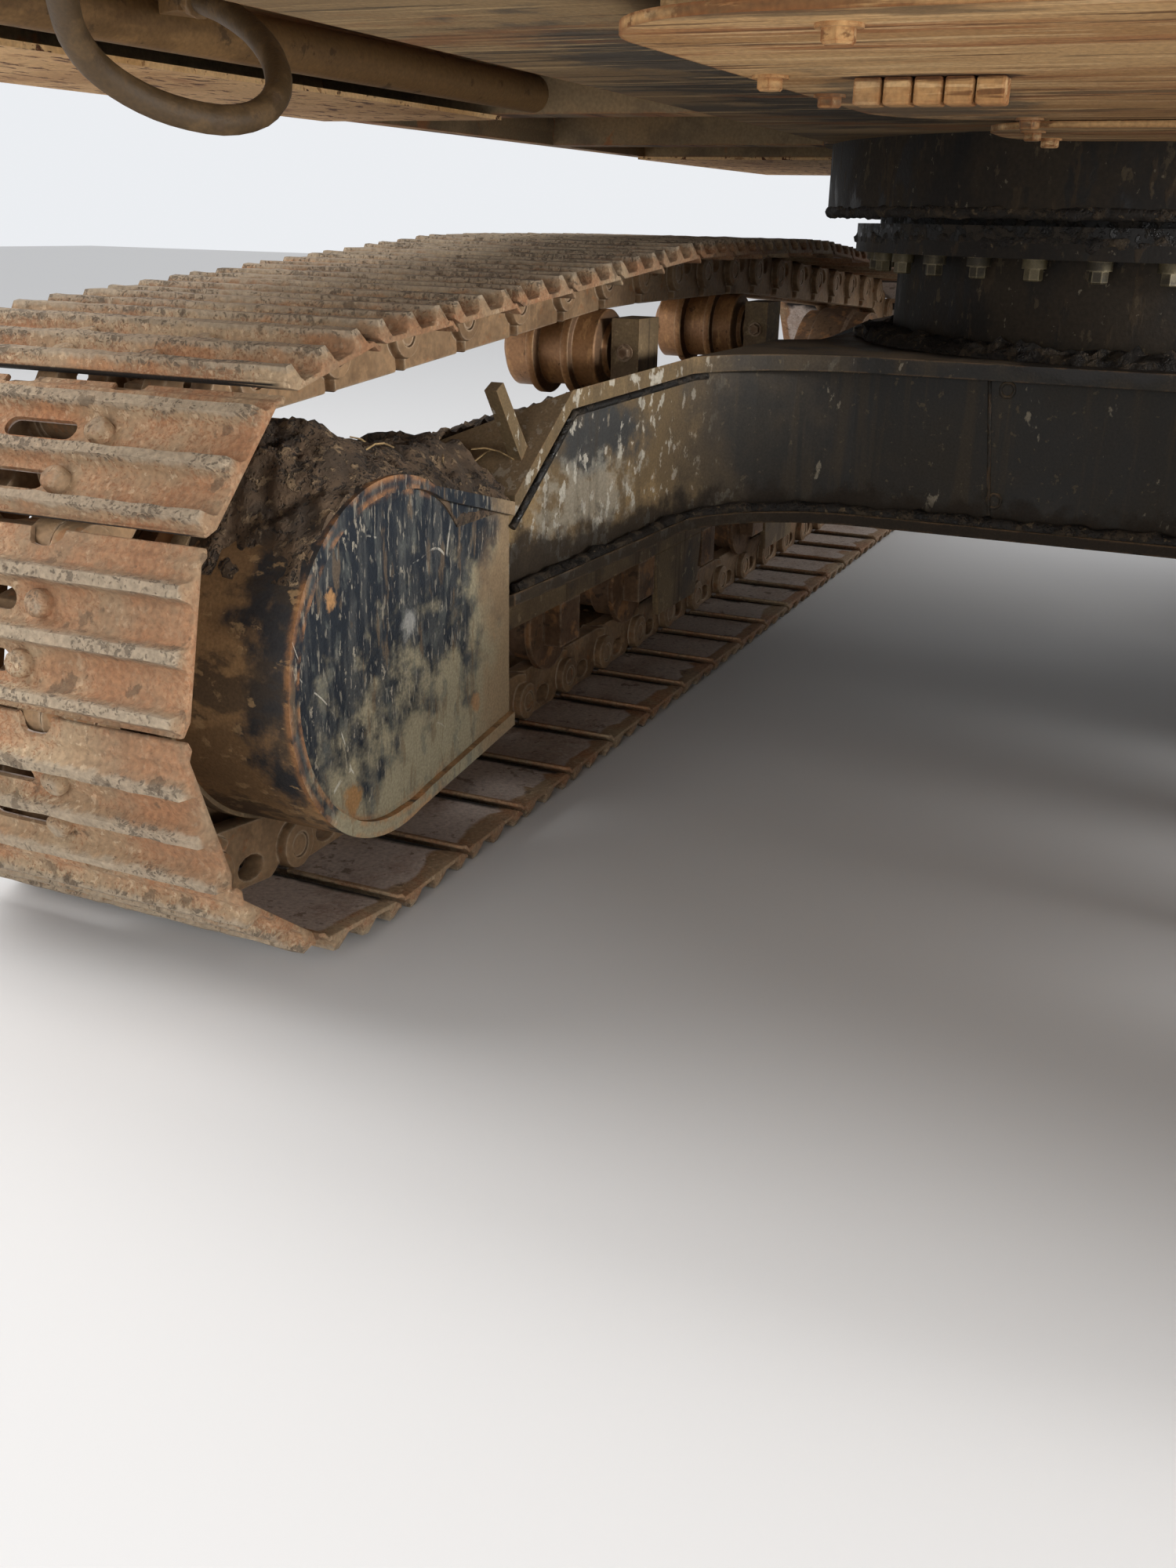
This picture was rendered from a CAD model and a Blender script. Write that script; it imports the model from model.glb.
# %% [markdown]
# # The undercarriage of a crawler excavator, seen from under its tail
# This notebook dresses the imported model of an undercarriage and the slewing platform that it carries.
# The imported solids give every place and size, and Blender adds what a hand or an eye would notice:
# worn shoes, chain links, bolts, caked mud, a hanging hose, and finishes with dust, rust and scratches.

# %% Load the fixed frame
import math

import bmesh
import bpy
from mathutils import Matrix, Vector, noise


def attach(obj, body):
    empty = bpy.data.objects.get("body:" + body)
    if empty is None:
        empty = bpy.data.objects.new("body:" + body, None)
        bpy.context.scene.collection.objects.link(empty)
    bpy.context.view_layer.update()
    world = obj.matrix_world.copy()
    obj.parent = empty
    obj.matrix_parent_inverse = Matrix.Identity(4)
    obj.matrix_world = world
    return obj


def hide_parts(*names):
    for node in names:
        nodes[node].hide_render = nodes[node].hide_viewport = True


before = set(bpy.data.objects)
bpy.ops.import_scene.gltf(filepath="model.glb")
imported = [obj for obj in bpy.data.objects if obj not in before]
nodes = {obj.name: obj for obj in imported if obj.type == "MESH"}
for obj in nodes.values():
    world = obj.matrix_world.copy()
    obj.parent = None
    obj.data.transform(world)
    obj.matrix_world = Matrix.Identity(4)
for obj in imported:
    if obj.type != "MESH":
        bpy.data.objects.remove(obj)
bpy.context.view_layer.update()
bpy.ops.object.select_all(action="DESELECT")

# %% [markdown]
# ## Camera
# The photographer crouched behind the left track and held the phone under the platform.
# A camera is set by its place, its three angles and its focal length. Its matrix is written
# from the directions right, up and back, because the picture is also rolled a little.

# %% Set the camera
CAMERA_PLACE = (-3.229, -0.175, 0.940)
YAW, PITCH_DOWN, ROLL = 23.7, 21.6, 1.28
FOCAL_PIXELS, PICTURE_PIXELS, SENSOR_MM = 1814, 2000, 36


def camera_matrix(place, yaw, pitch, roll):
    yaw, pitch, roll = (math.radians(a) for a in (yaw, pitch, roll))
    ahead = Vector((math.cos(yaw) * math.cos(pitch), math.sin(yaw) * math.cos(pitch), -math.sin(pitch)))
    right = Vector((math.sin(yaw), -math.cos(yaw), 0))
    up = right.cross(ahead)
    rolled_right = right * math.cos(roll) + up * math.sin(roll)
    rolled_up = up * math.cos(roll) - right * math.sin(roll)
    turn = Matrix((rolled_right, rolled_up, -ahead)).transposed().to_4x4()
    return Matrix.Translation(place) @ turn


bpy.ops.object.camera_add()
camera = bpy.context.object
camera.matrix_world = camera_matrix(CAMERA_PLACE, YAW, PITCH_DOWN, ROLL)
camera.data.sensor_width = SENSOR_MM
camera.data.lens = SENSOR_MM * FOCAL_PIXELS / PICTURE_PIXELS
camera.data.clip_end = 60
bpy.context.scene.camera = camera
print("lens", round(camera.data.lens, 2), "mm")

# %% [markdown]
# ## Hanging hose
# A grease hose hangs in a loop under the left deck. Both its ends go up into fittings.
# A cord needs one smooth route. The solid was swept along these same points, so the tube
# here is a curve along them with a round bevel, turned into a mesh.

# %% Draw the hose's route
HOSE_D = 0.024
hose_points = [Vector(p) / 1000 for p in (
    (-2322, 656, 1106), (-2304, 669, 1084), (-2285, 680, 1064), (-2260, 684, 1045), (-2231, 677, 1029),
    (-2198, 662, 1017), (-2157, 643, 1012), (-2117, 634, 1020), (-2079, 641, 1041), (-2046, 668, 1068),
    (-2019, 706, 1093), (-1996, 752, 1114), (-1977, 796, 1128),
)]


def smooth_route(points, steps):
    padded = [2 * points[0] - points[1], *points, 2 * points[-1] - points[-2]]
    route = []
    for i in range(len(points) - 1):
        a, b, c, d = padded[i:i + 4]
        for k in range(steps):
            t = k / steps
            route.append(0.5 * (2 * b + (c - a) * t + (2 * a - 5 * b + 4 * c - d) * t ** 2
                                + (3 * b - a - 3 * c + d) * t ** 3))
    return route + [points[-1]]


def focus(obj):
    """Select this object alone, so that an operator acts on nothing else"""
    bpy.ops.object.select_all(action="DESELECT")
    obj.select_set(True)
    bpy.context.view_layer.objects.active = obj


def tube(name, route, radius, sides=1):
    curve = bpy.data.curves.new(name, "CURVE")
    curve.dimensions = "3D"
    curve.bevel_depth = radius
    curve.bevel_resolution = sides
    curve.use_fill_caps = True
    spline = curve.splines.new("POLY")
    spline.points.add(len(route) - 1)
    for point, place in zip(spline.points, route):
        point.co = (*place, 1)
    made = bpy.data.objects.new(name, curve)
    bpy.context.collection.objects.link(made)
    focus(made)
    bpy.ops.object.convert(target="MESH")
    return bpy.context.object


hose_route = smooth_route(hose_points, 3)
hose = tube("grease_hose", hose_route, HOSE_D / 2, 5)
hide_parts("hanging_hose")
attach(hose, "platform")

# %% [markdown]
# ## Floor and light
# A plain pale floor reaches far behind the machine, and the world is a plain pale wall.
# Four large soft lamps stand overhead, behind the camera, low on the right and far off on the
# other side. A fifth, a spot lamp low on the right, reaches the run of shoes that lies on the
# ground behind the frame. Together they show the finishes as they are written.

# %% Lay the floor and hang the lamps
bpy.ops.mesh.primitive_plane_add(size=60, location=(0, 0, 0))
floor = bpy.context.object
floor.name = "floor"
pale = bpy.data.materials.new("pale floor")
pale.use_nodes = True
pale_shader = pale.node_tree.nodes["Principled BSDF"]
pale_shader.inputs["Base Color"].default_value = (0.62, 0.61, 0.60, 1)
pale_shader.inputs["Roughness"].default_value = 0.95
floor.data.materials.append(pale)


SPOT_ANGLE = math.radians(34)


def lamp(name, kind, place, target, size, power):
    bpy.ops.object.light_add(type=kind, location=place)
    made = bpy.context.object
    made.name = name
    made.data.energy = power
    made.rotation_mode = "QUATERNION"
    made.rotation_quaternion = (Vector(target) - Vector(place)).to_track_quat("-Z", "Y")
    if kind == "AREA":
        made.data.shape, made.data.size = "DISK", size
    else:
        made.data.shadow_soft_size, made.data.spot_size, made.data.spot_blend = size, SPOT_ANGLE, 1.0


lamp("sky_lamp", "AREA", (-3.5, 5.0, 5.0), (-1.0, 0.6, 0.4), 4.0, 320)
lamp("side_lamp", "AREA", (-7.0, 0.5, 1.6), (-1.0, 0.3, 0.7), 3.0, 120)
lamp("low_lamp", "AREA", (-2.4, -4.4, 1.2), (-0.8, 1.0, 0.4), 3.0, 230)
lamp("run_lamp", "SPOT", (-1.3, -4.8, 1.4), (-0.9, 1.0, 0.1), 0.7, 2700)
lamp("far_lamp", "AREA", (4.5, -4.5, 4.0), (0, 0, 0.5), 4.0, 130)

world = bpy.data.worlds.new("studio")
bpy.context.scene.world = world
world.use_nodes = True
wall = world.node_tree.nodes["Background"]
wall.inputs["Color"].default_value = (0.88, 0.90, 0.93, 1)
wall.inputs["Strength"].default_value = 0.95
bpy.context.scene.view_settings.view_transform = "Standard"
print("lamps", len(bpy.data.lights))

# %% [markdown]
# ## Masks as node groups
# Real steel is never one colour. Dust settles on what faces up, rust comes in patches,
# rain draws streaks, and paint wears off along edges. Each effect is a mask from 0 to 1,
# built once as a node group and used by many finishes with other values.

# %% A short way to add and link nodes
def add_node(tree, kind, feeds=None, **settings):
    made = tree.nodes.new("ShaderNode" + kind)
    for name, value in settings.items():
        setattr(made, name, value)
    for socket, value in (feeds or {}).items():
        if isinstance(value, bpy.types.NodeSocket):
            tree.links.new(value, made.inputs[socket])
        else:
            made.inputs[socket].default_value = value
    return made


def math_node(tree, operation, a, b=0.0):
    return add_node(tree, "Math", {0: a, 1: b}, operation=operation).outputs[0]


def vector_node(tree, operation, a, b, output=0):
    return add_node(tree, "VectorMath", {0: a, 1: b}, operation=operation).outputs[output]


def ramp(tree, value, low, high, kind="SMOOTHSTEP"):
    """0 where value is low and 1 where it is high"""
    return add_node(tree, "MapRange", {"Value": value, "From Min": low, "From Max": high},
                    interpolation_type=kind).outputs[0]


def object_place(tree):
    return add_node(tree, "TexCoord").outputs["Object"]


def surface_normal(tree):
    return add_node(tree, "NewGeometry").outputs["Normal"]


# %% Noise, borders, and the shell of a mask
def spread_noise(tree, vector, scale):
    """Clouds whose values use the whole range from 0 to 1"""
    cloud = add_node(tree, "TexNoise", {"Vector": vector, "Scale": scale, "Detail": 6.0, "Roughness": 0.6})
    return ramp(tree, cloud.outputs[0], 0.28, 0.72, "LINEAR")


def stepped(tree, value, cover, softness):
    """1 where value is above 1 - cover, with a soft border"""
    edge = math_node(tree, "SUBTRACT", 1.0, cover)
    return ramp(tree, value, math_node(tree, "SUBTRACT", edge, softness), math_node(tree, "ADD", edge, softness))


def wobble(tree, given):
    """Broken noise on both sides of 0, as wide as Ragged"""
    cloud = spread_noise(tree, object_place(tree), given["Scale"])
    return math_node(tree, "MULTIPLY", math_node(tree, "SUBTRACT", cloud, 0.5), given["Ragged"])


def ragged_ramp(tree, value, given):
    return ramp(tree, math_node(tree, "ADD", value, wobble(tree, given)), given["Start"], given["End"])


def mask_group(name, build, **inputs):
    """A node group with these inputs. build(tree, given) returns the socket that is its mask"""
    group = bpy.data.node_groups.new(name, "ShaderNodeTree")
    for label, value in inputs.items():
        kind = "NodeSocketVector" if isinstance(value, tuple) else "NodeSocketFloat"
        group.interface.new_socket(label, in_out="INPUT", socket_type=kind).default_value = value
    group.interface.new_socket("Mask", in_out="OUTPUT", socket_type="NodeSocketFloat")
    given = group.nodes.new("NodeGroupInput").outputs
    result = group.nodes.new("NodeGroupOutput").inputs["Mask"]
    group.links.new(build(group, given), result)
    return group


# %% Patches and streaks
EVEN = (1.0, 1.0, 1.0)


def patch_mask(tree, given):
    stretched = vector_node(tree, "MULTIPLY", object_place(tree), given["Stretch"])
    return stepped(tree, spread_noise(tree, stretched, given["Scale"]), given["Cover"], given["Softness"])


patches = mask_group("patches", patch_mask, Scale=8.0, Cover=0.4, Softness=0.1, Stretch=EVEN)


# %% Pits of rust
def pit_mask(tree, given):
    place = object_place(tree)
    wander = add_node(tree, "TexNoise", {"Vector": place, "Scale": 60.0, "Detail": 3.0}).outputs["Color"]
    moved = add_node(tree, "MixRGB", {0: 0.06, 1: place, 2: wander}, blend_type="ADD").outputs[0]
    cells = add_node(tree, "TexVoronoi", {"Vector": moved, "Scale": given["Scale"]}).outputs["Distance"]
    common = math_node(tree, "ADD", spread_noise(tree, place, 9.0), 0.35)
    depth = math_node(tree, "MULTIPLY", math_node(tree, "SUBTRACT", 1.0, cells), common)
    return stepped(tree, depth, given["Cover"], given["Softness"])


pits = mask_group("pits", pit_mask, Scale=120.0, Cover=0.4, Softness=0.15)


# %% Dust that settles on what faces up
def settled_mask(tree, given):
    facing_up = add_node(tree, "SeparateXYZ", {0: surface_normal(tree)}).outputs["Z"]
    dust = stepped(tree, spread_noise(tree, object_place(tree), given["Scale"]), given["Cover"], given["Softness"])
    return math_node(tree, "MULTIPLY", ramp(tree, facing_up, 0.1, 0.75, "LINEAR"), dust)


settled = mask_group("settled dust", settled_mask, Scale=6.0, Cover=0.5, Softness=0.2)


# %% A fade along one direction, with a ragged border
def fade_mask(tree, given):
    along = vector_node(tree, "DOT_PRODUCT", object_place(tree), given["Direction"], "Value")
    return ragged_ramp(tree, along, given)


fade = mask_group("fade", fade_mask, Direction=(0.0, 0.0, 1.0), Start=0.5, End=0.3, Ragged=0.15, Scale=7.0)


# %% Scratches, as the borders between bent cells
def scratch_mask(tree, given):
    place = object_place(tree)
    stretched = vector_node(tree, "MULTIPLY", place, given["Stretch"])
    wander = add_node(tree, "TexNoise", {"Vector": stretched, "Scale": 2.0, "Detail": 2.0}).outputs["Color"]
    bent = add_node(tree, "MixRGB", {0: 0.5, 1: stretched, 2: wander}, blend_type="ADD").outputs[0]
    border = add_node(tree, "TexVoronoi", {"Vector": bent, "Scale": given["Scale"]},
                      feature="DISTANCE_TO_EDGE").outputs["Distance"]
    line = math_node(tree, "LESS_THAN", border, given["Width"])
    here = stepped(tree, spread_noise(tree, place, 14.0), given["Cover"], 0.06)
    return math_node(tree, "MULTIPLY", line, here)


scratches = mask_group("scratches", scratch_mask, Scale=3.0, Width=0.004, Cover=0.4, Stretch=EVEN)


# %% Wear along edges, where a rounded normal leaves the true one
def edge_mask(tree, given):
    rounded = add_node(tree, "Bevel", {"Radius": given["Radius"]}, samples=4).outputs[0]
    agree = vector_node(tree, "DOT_PRODUCT", rounded, surface_normal(tree), "Value")
    here = stepped(tree, spread_noise(tree, object_place(tree), 30.0), given["Cover"], 0.2)
    return math_node(tree, "MULTIPLY", ramp(tree, agree, 0.99, 0.86, "LINEAR"), here)


worn_edge = mask_group("worn edge", edge_mask, Radius=0.006, Cover=0.6)


# %% Faces that are turned one way, or both ways along one line
def turned_mask(tree, given):
    agree = vector_node(tree, "DOT_PRODUCT", surface_normal(tree), given["Direction"], "Value")
    either = math_node(tree, "MULTIPLY", math_node(tree, "ABSOLUTE", agree), given["Both"])
    return ramp(tree, math_node(tree, "MAXIMUM", agree, either), given["Start"], given["End"])


turned = mask_group("turned", turned_mask, Direction=(0.0, 0.0, 1.0), Start=0.6, End=0.85, Both=1.0)


# %% The raised bars of tread plate, in two directions by turns
THIN_WAY, LONG_WAY = 5.5, 2.4


def tread_mask(tree, given):
    split = add_node(tree, "SeparateXYZ", {0: object_place(tree)})
    bars = []
    for shift, first, second in ((0.0, THIN_WAY, LONG_WAY), (0.5, LONG_WAY, THIN_WAY)):
        squares = []
        for sign, narrow in ((1, first), (-1, second)):
            way = math_node(tree, "ADD", split.outputs["X"], math_node(tree, "MULTIPLY", split.outputs["Y"], sign))
            way = math_node(tree, "ADD", math_node(tree, "DIVIDE", way, given["Pitch"]), 50 + shift)
            near = math_node(tree, "SUBTRACT", math_node(tree, "FRACT", way), 0.5)
            near = math_node(tree, "MULTIPLY", math_node(tree, "ABSOLUTE", near), narrow)
            squares.append(math_node(tree, "POWER", near, 2.0))
        bars.append(math_node(tree, "ADD", *squares))
    inner = math_node(tree, "SUBTRACT", 1.0, given["Softness"])
    return ramp(tree, math_node(tree, "MINIMUM", *bars), 1.0, inner, "LINEAR")


tread = mask_group("tread", tread_mask, Pitch=0.045, Softness=0.3)


# %% A ragged patch round one spot
def spot_mask(tree, given):
    way = vector_node(tree, "SUBTRACT", object_place(tree), given["Middle"])
    sized = vector_node(tree, "DIVIDE", way, given["Size"])
    far = add_node(tree, "VectorMath", {0: sized}, operation="LENGTH").outputs["Value"]
    outer = math_node(tree, "ADD", 1.0, given["Softness"])
    inner = math_node(tree, "SUBTRACT", 1.0, given["Softness"])
    return ramp(tree, math_node(tree, "ADD", far, wobble(tree, given)), outer, inner)


spot = mask_group("spot", spot_mask, Middle=(0.0, 0.0, 0.0), Size=(0.1, 0.1, 0.1), Ragged=0.5, Scale=14.0,
                  Softness=0.2)


# %% Two masks that the shoe's mesh carries: the height over its plate, and the gap under the next lip
def carried(tree, name):
    return add_node(tree, "Attribute", attribute_name=name).outputs["Fac"]


def rib_height_mask(tree, given):
    return ragged_ramp(tree, carried(tree, "height"), given)


def gap_mask(tree, given):
    return ramp(tree, carried(tree, "gap"), given["Start"], given["End"], "LINEAR")


rib_height = mask_group("rib height", rib_height_mask, Start=0.5, End=0.8, Ragged=0.2, Scale=60.0)
gap_dirt = mask_group("gap dirt", gap_mask, Start=0.3, End=0.7)
print("masks", [g.name for g in bpy.data.node_groups])

# %% [markdown]
# ## Finishes
# A finish starts from one colour and gets layers, each with a mask, a colour, a roughness,
# a strength and a height in metres. The heights add up to one bump map, so that dust looks
# thin and mud looks thick. Colours are written as the eye reads them, from 0 to 255.
# A layer that is too thin to be seen has no height, which keeps a render short.

# %% One layer of a finish
def tone(red, green, blue):
    def linear(c):
        c /= 255
        return c / 12.92 if c <= 0.04045 else ((c + 0.055) / 1.055) ** 2.4
    return (linear(red), linear(green), linear(blue), 1)


def layer(group, colour, roughness, strength, height=0, only=None, **values):
    """only is a second mask, as (group, values), that limits the first"""
    return {"group": group, "colour": tone(*colour), "roughness": roughness, "strength": strength,
            "height": height, "only": only, "values": values}


def patch(colour, roughness, strength, height, scale, cover, softness, stretch=None, only=None, group=patches):
    """scale is how many lie along a metre, cover the share that they take, softness the width of their border"""
    values = {"Scale": scale, "Cover": cover, "Softness": softness}
    if stretch:
        values["Stretch"] = stretch
    return layer(group, colour, roughness, strength, height, only, **values)


def blot(colour, roughness, strength, height, middle, size, ragged, scale, softness):
    return layer(spot, colour, roughness, strength, height, Middle=middle, Size=size, Ragged=ragged, Scale=scale,
                 Softness=softness)


def faded(colour, roughness, strength, height, direction, start, end, ragged, scale, only=None):
    return layer(fade, colour, roughness, strength, height, only, Direction=direction, Start=start, End=end,
                 Ragged=ragged, Scale=scale)


def rubbed(colour, roughness, strength, cover, radius=0.006, height=0, only=None):
    return layer(worn_edge, colour, roughness, strength, height, only, Radius=radius, Cover=cover)


# %% The way a finish is built
def mask_node(tree, group, values):
    mask = add_node(tree, "Group", node_tree=group)
    for label, value in values.items():
        mask.inputs[label].default_value = value
    return mask.outputs[0]


def finish(name, colour, roughness, layers, metallic=0.0, grain=0.0004, grain_scale=220.0, contrast=0.18,
           shine=0.5):
    material = bpy.data.materials.new(name)
    material.use_nodes = True
    tree = material.node_tree
    shader = tree.nodes["Principled BSDF"]
    shader.inputs["Metallic"].default_value = metallic
    shader.inputs["Specular IOR Level"].default_value = shine
    place = object_place(tree)
    fine = add_node(tree, "TexNoise", {"Vector": place, "Scale": grain_scale, "Detail": 4.0}).outputs[0]
    shade = add_node(tree, "MapRange", {"Value": fine, "From Min": 0.3, "From Max": 0.7,
                                        "To Min": 1 - contrast, "To Max": 1 + contrast}).outputs[0]
    mixed, dull = tone(*colour), roughness
    height = math_node(tree, "MULTIPLY", fine, grain)
    for item in layers:
        amount = math_node(tree, "MULTIPLY", mask_node(tree, item["group"], item["values"]), item["strength"])
        if item["only"]:
            amount = math_node(tree, "MULTIPLY", amount, mask_node(tree, *item["only"]))
        mixed = add_node(tree, "MixRGB", {0: amount, 1: mixed, 2: item["colour"]}).outputs[0]
        dull = add_node(tree, "MapRange", {"Value": amount, "To Min": dull, "To Max": item["roughness"]}).outputs[0]
        if item["height"]:
            height = math_node(tree, "ADD", height, math_node(tree, "MULTIPLY", amount, item["height"]))
    tree.links.new(vector_node(tree, "MULTIPLY", mixed, shade), shader.inputs["Base Color"])
    tree.links.new(dull, shader.inputs["Roughness"])
    bump = add_node(tree, "Bump", {"Height": height, "Distance": 1.0, "Strength": 1.0})
    tree.links.new(bump.outputs[0], shader.inputs["Normal"])
    return material


# %% [markdown]
# ## Shoes and chain
# Bare steel that grinds through soil is brown with fresh orange rust between its ribs, grey and
# pitted on their tops, and polished on its inner face. The numbers of a layer stand in one order:
# colour, roughness, strength and height, and then what its mask asks for.

# %% Layers of the shoes and of the chain
BETWEEN_RIBS = (rib_height, {"Start": 0.62, "End": 0.36, "Ragged": 0.2})
RIB_TOPS = (rib_height, {"Start": 0.6, "End": 0.8})
INNER_FACE = (rib_height, {"Start": 0.06, "End": 0.01})
shoe_finish = finish("rusty shoe steel", (138, 112, 84), 0.82, [
    patch((160, 140, 112), 0.88, 0.75, 0, 5, 0.46, 0.28),
    patch((158, 104, 62), 0.85, 0.62, 0, 6, 0.32, 0.16),
    patch((118, 76, 48), 0.9, 0.65, -0.0005, 130, 0.44, 0.14, group=pits),
    patch((188, 166, 136), 0.9, 0.5, 0.0003, 90, 0.26, 0.08),
    patch((116, 92, 70), 0.9, 0.6, 0, 3, 0.40, 0.2),
    patch((154, 104, 68), 0.85, 0.42, 0, 9, 0.48, 0.2, only=BETWEEN_RIBS),
    layer(rib_height, (146, 132, 112), 0.9, 0.8, 0.0008, Start=0.66, End=0.92, Ragged=0.3, Scale=50),
    patch((88, 76, 62), 0.9, 0.75, -0.0014, 85, 0.40, 0.12, only=RIB_TOPS, group=pits),
    layer(rib_height, (184, 170, 160), 0.6, 0.92, 0, Start=0.10, End=0.02, Ragged=0.05, Scale=40),
    patch((148, 122, 102), 0.7, 0.45, 0, 9, 0.40, 0.2, only=INNER_FACE),
    patch((104, 88, 76), 0.75, 0.6, 0, 55, 0.22, 0.06, only=INNER_FACE),
    patch((82, 66, 50), 0.92, 0.6, 0.0014, 22, 0.18, 0.05),
    layer(gap_dirt, (12, 10, 8), 0.97, 0.97, 0, Start=0.2, End=0.7),
], metallic=0.1, grain=0.0012, grain_scale=150.0, contrast=0.22)
chain_finish = finish("worn chain steel", (140, 112, 82), 0.72, [
    patch((108, 82, 56), 0.85, 0.7, 0, 8, 0.42, 0.2),
    patch((158, 126, 92), 0.85, 0.7, 0.0006, 20, 0.34, 0.1),
    patch((150, 98, 58), 0.85, 0.5, 0, 34, 0.24, 0.08),
    rubbed((192, 172, 146), 0.5, 0.75, 0.65),
], metallic=0.25, grain=0.0010, grain_scale=110.0)

# %% [markdown]
# ## Motor guard
# The guard's flat face is black paint under dust. Rain has washed the dust down in thin streaks,
# stones have scratched it, and mud has dried on it in a slanting line. So most of its layers lie on
# the face alone, stretched upright, and single blots stand where the real ones are.

# %% The guard's face and side
FACE = (turned, {"Direction": (0, 1, 0), "Start": 0.8, "End": 0.95})
BACK_RIM = (fade, {"Direction": (1, 0, 0), "Start": -1.52, "End": -1.60, "Ragged": 0.03, "Scale": 20})
guard_finish = finish("scratched black paint", (118, 90, 60), 0.85, [
    patch((150, 116, 78), 0.92, 0.8, 0, 8, 0.45, 0.2, (1, 0.5, 1)),
    *[blot((34, 38, 42), 0.5, 0.95, 0, (-1.70, y, 0.54), (0.44, 0.085, 0.30), 0.9, 15, 0.22)
      for y in (0.775, -0.775)],
    patch((58, 48, 38), 0.85, 0.75, 0, 16, 0.34, 0.1, (1, 0.5, 1)),
    patch((164, 132, 92), 0.9, 0.6, 0.0003, 50, 0.25, 0.06, (1, 0.4, 0.6)),
    layer(turned, (31, 36, 42), 0.45, 1, 0, Direction=(0, 1, 0), Start=0.8, End=0.95),
    patch((84, 84, 80), 0.7, 0.36, 0, 42, 0.40, 0.14, (1, 1, 0.14), only=FACE),
    patch((146, 138, 122), 0.8, 0.5, 0.0001, 150, 0.28, 0.06, (1, 1, 0.22), only=FACE),
    patch((168, 158, 138), 0.8, 0.55, 0.0001, 70, 0.15, 0.04, (1, 1, 0.5), only=FACE),
    patch((158, 106, 66), 0.85, 0.7, 0, 15, 0.12, 0.03, (1, 1, 0.3), only=FACE),
    faded((146, 136, 110), 0.92, 0.88, 0, (0.30, 0, -1), -0.93, -0.72, 0.42, 14, only=FACE),
    patch((86, 88, 82), 0.9, 0.5, 0, 40, 0.28, 0.10, (1, 1, 0.4), only=FACE),
    blot((170, 168, 160), 0.9, 0.5, 0, (-1.633, 0.783, 0.434), (0.016, 0.05, 0.020), 1.1, 70, 0.5),
    blot((158, 118, 76), 0.9, 0.9, 0.0006, (-1.812, 0.783, 0.505), (0.011, 0.05, 0.013), 1.3, 90, 0.4),
    blot((150, 114, 78), 0.9, 0.9, 0.0006, (-1.448, 0.783, 0.268), (0.014, 0.05, 0.016), 0.6, 80, 0.25),
    blot((146, 108, 66), 0.9, 0.9, 0.0006, (-1.785, 0.783, 0.232), (0.020, 0.05, 0.022), 0.7, 70, 0.25),
    faded((134, 112, 84), 0.92, 0.85, 0, (1, 0, -0.1), -1.49, -1.41, 0.10, 10, only=FACE),
    patch((104, 86, 64), 0.9, 0.5, 0, 40, 0.24, 0.06, (1, 1, 0.25), only=FACE),
    layer(scratches, (178, 172, 158), 0.6, 0.7, -0.0002, only=FACE,
          Scale=3.2, Width=0.0030, Cover=0.36, Stretch=(1, 1, 0.6)),
    rubbed((162, 112, 68), 0.85, 0.9, 0.52, height=0.0003, radius=0.018, only=BACK_RIM),
], grain=0.0004, grain_scale=260.0, shine=0.35)

# %% [markdown]
# ## Frames, ring and castings
# The carbody is black and dusty, and its legs near the track are splashed with pale mud. A fade
# along x limits that to the legs. The ring is black with old oil, and castings rust all over.

# %% The carbody and its legs
RAIN = (1, 1, 0.05)
LEG_PART = (fade, {"Direction": (1, 0, 0), "Start": -0.66, "End": -0.90, "Ragged": 0.16, "Scale": 5})
web_finish = finish("dusty black paint", (32, 30, 27), 0.62, [
    patch((48, 42, 33), 0.8, 0.7, 0, 2.6, 0.40, 0.3),
    faded((104, 86, 60), 0.88, 0.85, 0, (1, 0, 0), -0.62, -0.90, 0.18, 5),
    *[blot((40, 46, 50), 0.5, 0.85, 0, (-1.06, y, 0.61), (0.15, 0.2, 0.05), 0.8, 14, 0.3) for y in (0.80, -0.80)],
    patch((44, 46, 46), 0.5, 0.7, 0, 9, 0.24, 0.12, only=LEG_PART),
    patch((130, 108, 76), 0.88, 0.7, 0, 11, 0.34, 0.14, (1, 1, 0.6), only=LEG_PART),
    blot((150, 144, 130), 0.9, 0.5, 0, (-1.10, 0.80, 0.52), (0.12, 0.2, 0.055), 2, 32, 0.4),
    patch((168, 162, 148), 0.9, 0.8, 0.0003, 44, 0.30, 0.05, (1, 1, 0.6), only=LEG_PART),
    *[faded((112, 90, 60), 0.9, 0.85, 0, (0, side, 0), 0.825, 0.85, 0.02, 30) for side in (1, -1)],
    patch((66, 56, 42), 0.85, 0.35, 0, 28, 0.34, 0.12, RAIN),
    patch((140, 130, 112), 0.9, 0.55, 0.0003, 20, 0.11, 0.03, (1, 1, 0.5)),
    patch((96, 84, 64), 0.9, 0.4, 0.0002, 70, 0.16, 0.05),
    faded((40, 33, 26), 0.95, 0.9, 0.0018, (0, 0, -1), -0.50, -0.462, 0.06, 20),
    patch((104, 86, 64), 0.95, 0.8, 0.0012, 5, 0.7, 0.25, group=settled),
    blot((24, 20, 16), 0.5, 0.9, 0.0012, (0, 0, 0.74), (0.72, 0.66, 0.06), 0.3, 9, 0.10),
    rubbed((118, 90, 62), 0.8, 0.5, 0.5),
], grain=0.0004, grain_scale=240.0, shine=0.25)

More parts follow.
